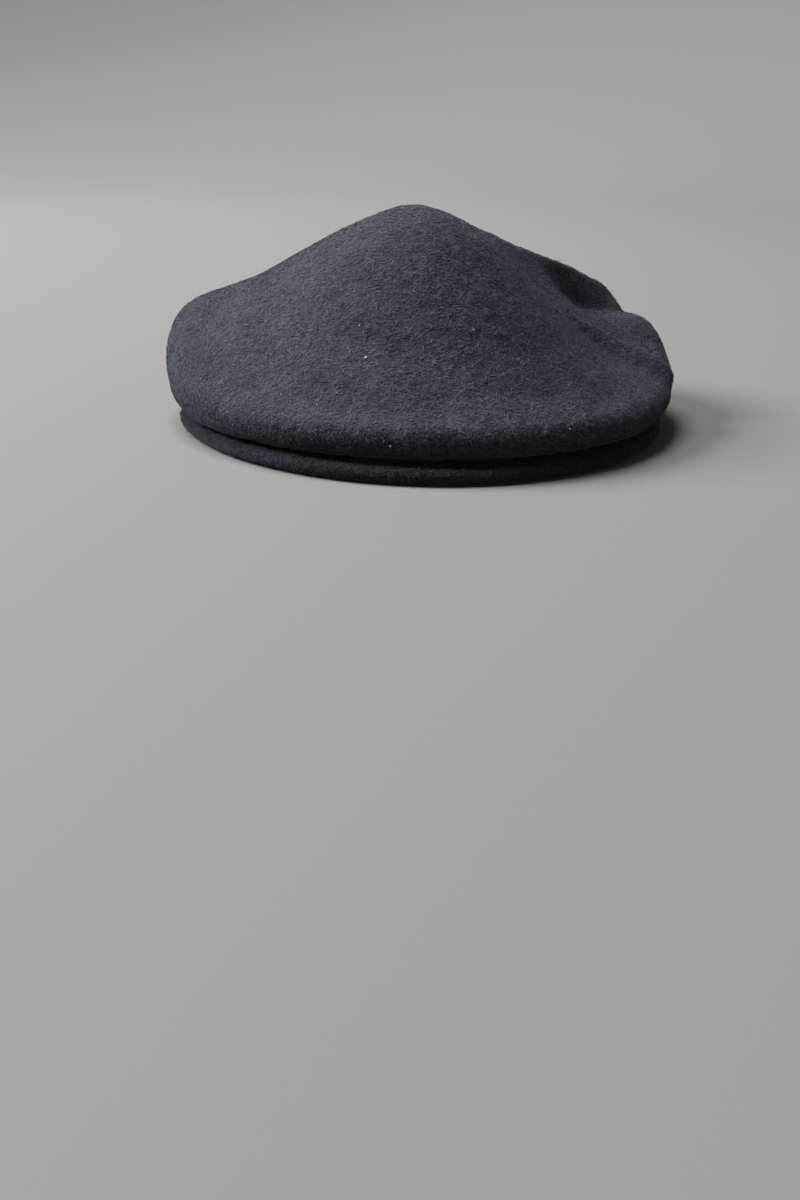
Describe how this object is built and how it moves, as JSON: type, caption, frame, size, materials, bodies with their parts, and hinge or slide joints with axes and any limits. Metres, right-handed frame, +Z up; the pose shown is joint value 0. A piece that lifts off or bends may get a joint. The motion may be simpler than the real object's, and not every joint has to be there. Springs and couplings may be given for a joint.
{
  "type": "flat cap",
  "caption": "Boiled wool flat cap: a one-piece domed crown with a rolled rim and folds on one side, over a short stiffened peak, open below for the head.",
  "frame": {"origin": "middle of the cap's footprint, on the surface that it stands on", "axes": "+Z up, the peak points along -Y, +X on the right of someone who looks at the front"},
  "size_m": [0.2668, 0.2618, 0.1075],
  "materials": {
    "crown_felt": "matte, felted nubby wool with a short nap",
    "peak_felt": "matte, felted nubby wool over a stiffener"
  },
  "bodies": {
    "root": {"crown": "crown_felt", "peak": "peak_felt"}
  },
  "joints": []
}
